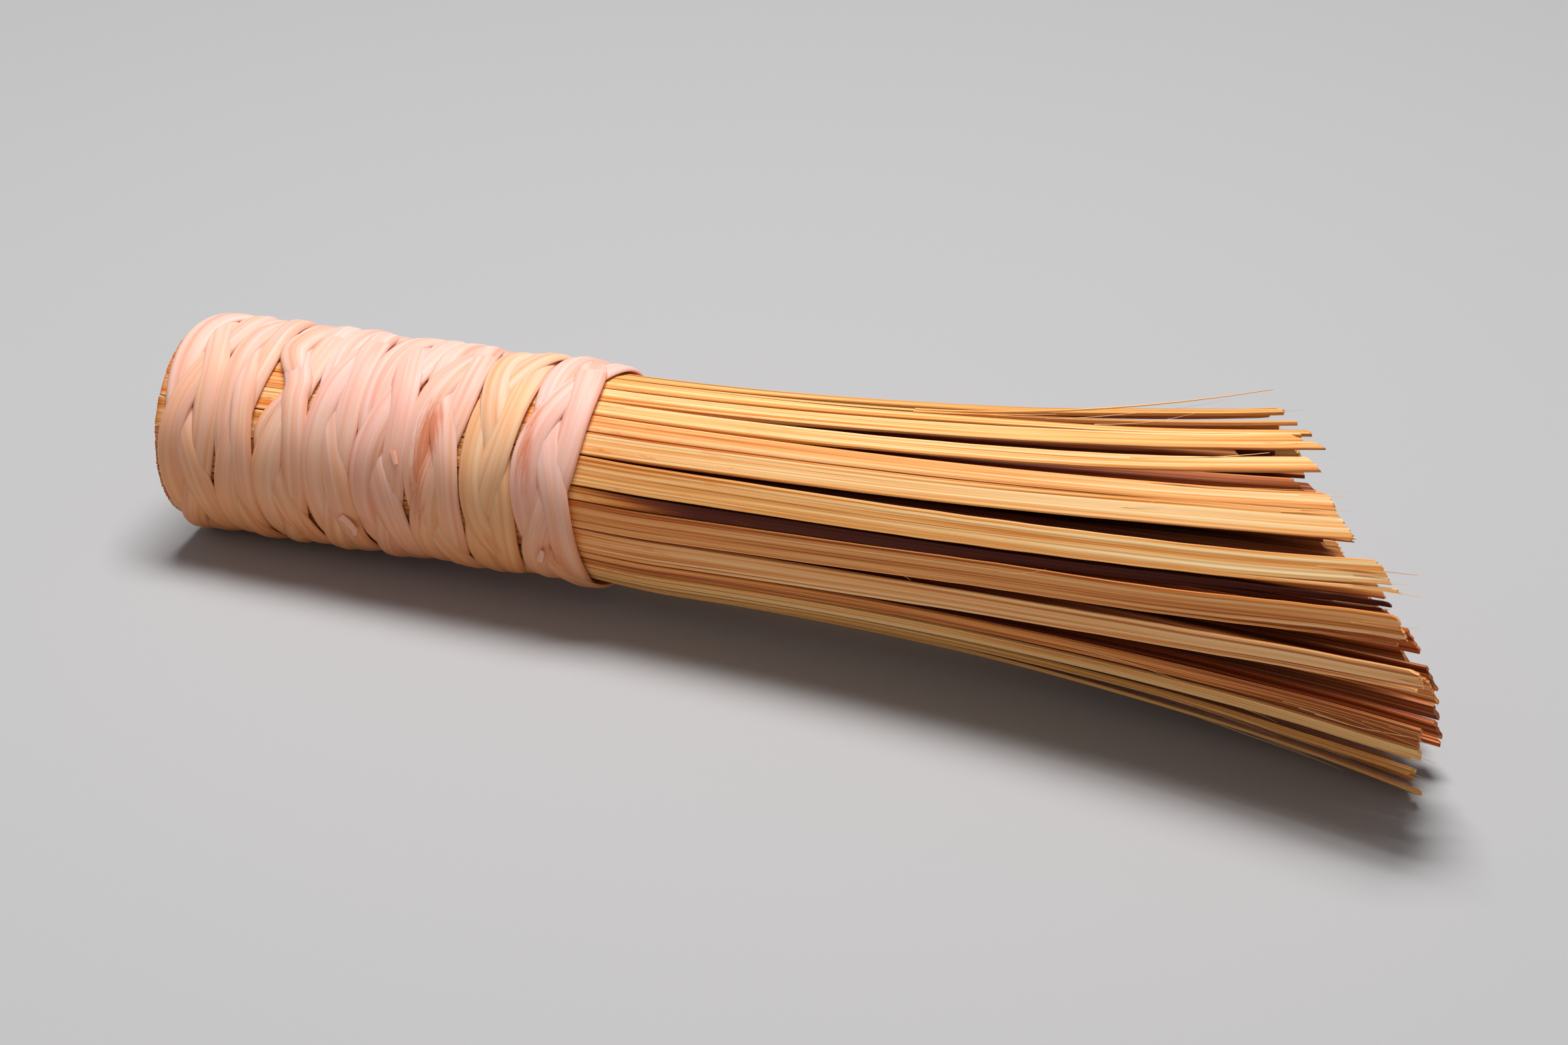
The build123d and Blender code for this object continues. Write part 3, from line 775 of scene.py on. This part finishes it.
def rattan(name):
    """Rattan peel: smooth pale strip, faint lengthwise lines, pink to straw, with reddish streaks.

    The look attribute is its warmth, how strongly it is marked, and how far it is on the low side, which
    gets painted shade: darker and warmer.
    """
    n = Nodes(name)
    grain = n.attribute("grain")
    warmth, mark, under = n.new("ShaderNodeSeparateXYZ", {0: n.attribute("look")}).outputs
    lines = n.noise(n.scaled(grain, 0.9, 0.02), 2.0, 0.5)
    hair = n.noise(n.scaled(grain, 7.0, 0.08), 2.0, 0.6)
    cloud = n.noise(n.scaled(grain, 0.22, 0.06), 3.0, 0.55)
    streak = n.noise(n.scaled(grain, 0.8, 0.03), 4.0, 0.7)
    pink = n.ramp(lines, [(0.3, srgb(243, 172, 150)), (0.5, srgb(250, 192, 176)),
                          (0.7, srgb(252, 208, 198))])
    straw = n.ramp(lines, [(0.3, srgb(240, 172, 120)), (0.5, srgb(250, 192, 144)),
                           (0.7, srgb(253, 207, 165))])
    local = n.math("ADD", warmth, n.math("MULTIPLY", n.math("SUBTRACT", cloud, 0.5), 1.3), clamp=True)
    colour = n.mix(local, pink, straw)
    stain = n.above(streak, 0.58, 5.0)
    colour = n.mix(n.math("MULTIPLY", stain, 0.45), colour, srgb(226, 140, 96))
    blot = n.math("MULTIPLY", n.noise(n.scaled(grain, 1.6, 0.16), 5.0, 0.75), 2.4)
    blot = n.above(n.math("ADD", blot, mark), 1.75, 1.6)
    colour = n.mix(n.math("MULTIPLY", blot, 0.75), colour, srgb(222, 118, 66))
    pale = n.above(hair, 0.6, 3.0)
    colour = n.mix(n.math("MULTIPLY", pale, 0.3), colour, srgb(253, 228, 212))
    # Painted shade: the low side of the grip is made darker and warmer.
    colour = n.mix(n.math("MULTIPLY", under, 0.9), colour, srgb(232, 196, 154), "MULTIPLY")
    height = n.math("ADD", n.math("MULTIPLY", lines, 0.7), n.math("MULTIPLY", hair, 0.2))
    bump = n.new("ShaderNodeBump", {"Height": height, "Strength": 0.2, "Distance": 0.0002})
    n.surface("Base Color", colour)
    n.surface("Roughness", n.math("ADD", n.math("MULTIPLY", lines, 0.25), 0.36))
    n.surface("Specular IOR Level", 0.2)
    n.surface("Normal", bump.outputs[0])
    n.surface("Subsurface Weight", 0.12)
    n.surface("Subsurface Radius", (0.0012, 0.0007, 0.0004))
    n.surface("Subsurface Scale", 1.0)
    return n.material


# Tints that multiply the bamboo's colour, and the colour of its sap spots
ORANGE = srgb(255, 186, 138)
OLIVE = srgb(228, 226, 160)
SAP = srgb(232, 120, 44)
SKIN = bamboo("bamboo_skin_side", srgb(146, 74, 26), srgb(226, 144, 66), srgb(250, 187, 113),
              srgb(255, 219, 163))
PITH = bamboo("bamboo_pith_side", srgb(120, 54, 22), srgb(196, 106, 48), srgb(228, 148, 80),
              srgb(246, 186, 118), rough=0.5, seed=31.0, deep_shade=0.86)
CORE = bamboo("bamboo_core", srgb(104, 48, 20), srgb(172, 94, 46), srgb(206, 134, 76),
              srgb(228, 172, 112), rough=0.55, seed=57.0, deep_shade=0.95)
PEG = bamboo("bamboo_peg_wood", srgb(150, 96, 50), srgb(200, 146, 86), srgb(224, 178, 114),
             srgb(238, 204, 146), rough=0.55, seed=83.0)
PEEL = rattan("rattan_peel")

# ---------------------------------------------------------------- assemble
for number, (node, spec) in enumerate(zip(outer_nodes, outer), 1):
    piece = build_outer(number, spec, SKIN)
    hinge = place(spec, np.array(spec["hinge"]), np.array(0.0), np.array(spec["radius"]))
    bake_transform(piece)
    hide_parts(node, "outer_splint_roots")

for i, node in enumerate(second_nodes):
    specs = [measure_inner(p) for p in islands(node)]
    piece = build_inner(f"bamboo_splint_second_{i + 1:02d}", specs, PITH, seed=700 + i, columns=22, rows=48)
    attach(piece, "grip")
    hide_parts(node)

for i, node in enumerate(layer_nodes):
    specs = [measure_inner(p) for p in islands(node)]
    piece = build_inner("bamboo_splints_layer_" + node[-1], specs, CORE, seed=800 + i, columns=12, rows=30)
    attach(piece, "grip")
    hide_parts(node)

peg = build_peg(PEG)
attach(peg, "grip")
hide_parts("core_wedge")

for number, node in enumerate(band_nodes, 1):
    s = np.concatenate(islands(node))[:, 0]
    low = s.min() - (FIRST_EDGE if number == 1 else 0.0)
    piece = build_band(number, low, s.max(), PEEL)
    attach(piece, "grip")
    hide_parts(node)

# ---------------------------------------------------------------- stage
scene = bpy.context.scene
scene.view_settings.view_transform = "Standard"
floor_z = cad_box[0].z
bpy.ops.mesh.primitive_plane_add(size=8, location=(0.1, 0, floor_z))
floor = bpy.context.object
floor.name = "floor"
ground = Nodes("floor_paper")
ground.shader.inputs["Base Color"].default_value = srgb(177, 178, 181)
ground.shader.inputs["Roughness"].default_value = 0.75
floor.data.materials.append(ground.material)


def area_light(name, location, target, size, power, colour):
    """A rectangular light that faces its target."""
    data = bpy.data.lights.new(name, "AREA")
    data.shape = "RECTANGLE"
    data.size, data.size_y = size
    data.energy = power
    data.color = colour
    obj = bpy.data.objects.new(name, data)
    obj.location = location
    obj.rotation_euler = (Vector(location) - Vector(target)).to_track_quat("Z", "Y").to_euler()
    scene.collection.objects.link(obj)


MIDDLE = (0.12, 0, 0)         # the middle of the brush; places and sizes are in m, the powers in W
area_light("key", (0.06, 0.14, 1.05), MIDDLE, (0.6, 0.45), 14.5, (1.0, 0.975, 0.95))
area_light("fill", (0.5, -1.3, 0.9), MIDDLE, (1.4, 1.0), 2.2, (1.0, 0.97, 0.94))
world = bpy.data.worlds.new("studio")
scene.world = world
world.use_nodes = True
background = world.node_tree.nodes["Background"]
background.inputs["Color"].default_value = (0.93, 0.93, 0.94, 1)
background.inputs["Strength"].default_value = 0.16

# ---------------------------------------------------------------- camera
camera_data = bpy.data.cameras.new("camera")
camera = bpy.data.objects.new("camera", camera_data)
scene.collection.objects.link(camera)
scene.camera = camera
camera_data.sensor_width = 36
camera_data.lens = 119.4
camera_data.clip_start = 0.05
# Lens, direction and place were fitted to the outline in the photo.
azimuth, elevation = math.radians(22.70), math.radians(27.43)
level = math.cos(elevation)
back = Vector((math.sin(azimuth) * level, -math.cos(azimuth) * level, math.sin(elevation)))
camera.location = (0.4572, -0.7984, 0.4719 + floor_z)
camera.rotation_euler = back.to_track_quat("Z", "Y").to_euler()
